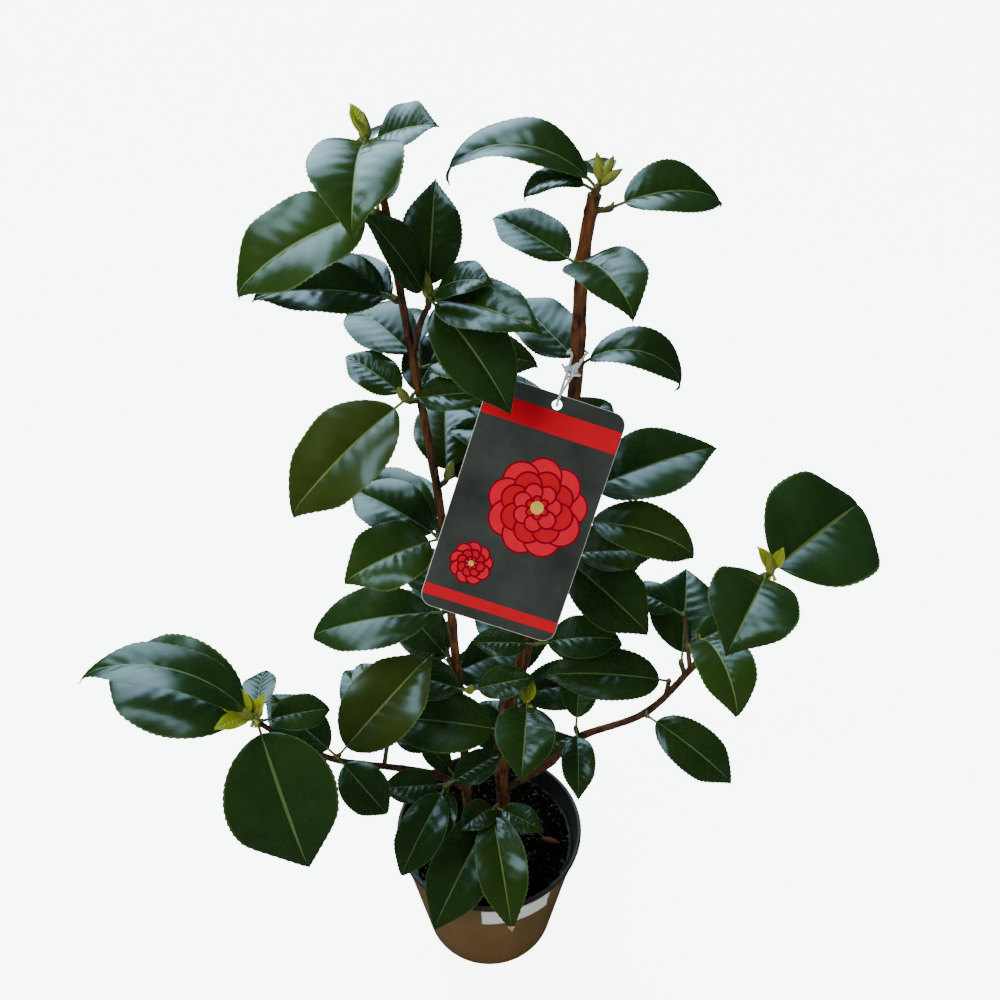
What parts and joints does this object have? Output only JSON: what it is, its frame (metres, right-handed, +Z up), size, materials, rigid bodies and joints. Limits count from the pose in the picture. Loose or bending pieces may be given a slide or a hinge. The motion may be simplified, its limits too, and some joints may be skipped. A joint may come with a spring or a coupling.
{
  "type": "potted camellia shrub",
  "caption": "Young evergreen camellia shrub with upright stems, two arching low boughs, large glossy leaves and a hanging picture label, in a round tapered nursery pot.",
  "frame": {"origin": "centre of the pot's flat underside", "axes": "+Z up along the pot's axis, +X the plant's right, -Y its front"},
  "size_m": [0.4416, 0.2539, 0.6252],
  "materials": {
    "pot": "taupe moulded nursery plastic, matte",
    "compost": "moist dark compost with bark pieces",
    "bark": "smooth reddish-brown young bark",
    "leaf": "glossy dark green leaves",
    "label": "printed plastic card",
    "string": "white twisted string"
  },
  "bodies": {
    "root": {"back_bough_left": "leaf", "back_bough_right": "leaf", "back_foot": "leaf", "back_left_low": "leaf", "back_left_middle": "leaf", "back_left_upper": "leaf", "back_low": "leaf", "back_middle": "leaf", "back_upper": "leaf", "bough_left_middle": "leaf", "bough_left_tip": "leaf", "bough_right_inner": "leaf", "bough_right_low": "leaf", "bough_right_middle": "leaf", "bough_right_tip": "leaf", "bough_right_under": "leaf", "bough_right_upper": "leaf", "collar_left": "leaf", "compost": "compost", "crown_left": "leaf", "crown_right": "leaf", "crown_right_side": "leaf", "foot_front": "leaf", "foot_left": "leaf", "fork_bough": "bark", "fork_spray": "leaf", "knee_left": "leaf", "knee_low": "leaf", "label": "label", "label_string": "string", "left_bough": "bark", "left_stem": "bark", "low_centre": "leaf", "low_front": "leaf", "low_right": "leaf", "main_stem": "bark", "middle_right": "leaf", "middle_right_front": "leaf", "middle_right_low": "leaf", "pot": "pot", "right_bough": "bark", "shoulder_left": "leaf", "shoulder_left_low": "leaf", "shoulder_right": "leaf", "upper_right": "leaf", "waist_back": "leaf", "waist_left": "leaf"}
  },
  "joints": []
}
